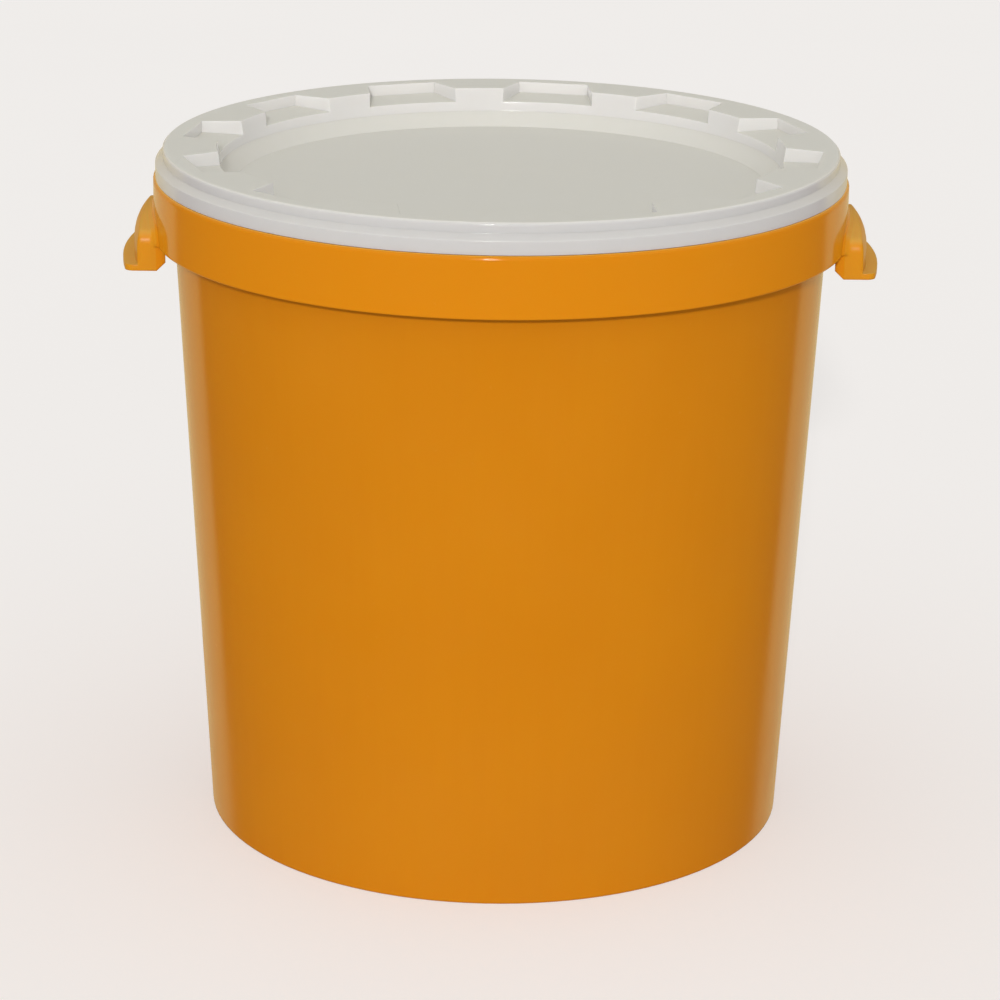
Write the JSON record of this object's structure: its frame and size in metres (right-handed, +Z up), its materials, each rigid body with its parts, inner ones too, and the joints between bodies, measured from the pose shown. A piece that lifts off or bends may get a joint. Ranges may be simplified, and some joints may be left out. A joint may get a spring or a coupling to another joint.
{
  "type": "honey pail",
  "caption": "Tapered round honey pail with a deep collar, hooded hand grips on its sides and a lift-off snap lid with a castellated rim and a sunken panel.",
  "frame": {"origin": "centre of the pail's axis on the floor it stands on, midway between the grips", "axes": "+Z up along the pail's axis, +X through the middle of one grip, +Y away from the side the picture shows"},
  "size_m": [0.404, 0.3708, 0.3704],
  "materials": {
    "orange_plastic": "glossy injection-moulded polypropylene, orange-yellow",
    "white_plastic": "satin to glossy injection-moulded polypropylene, natural white, a little see-through in the thin panel",
    "seal_rubber": "matt foamed polyethylene, off-white"
  },
  "bodies": {
    "pail": {"pail": "orange_plastic"},
    "lid": {"lid": "white_plastic", "lid_seal": "seal_rubber"}
  },
  "joints": [
    {"name": "lid_lift", "type": "slide", "parent": "pail", "child": "lid", "axis": [0, 0, 1], "range_m": [0, 0.06]}
  ]
}
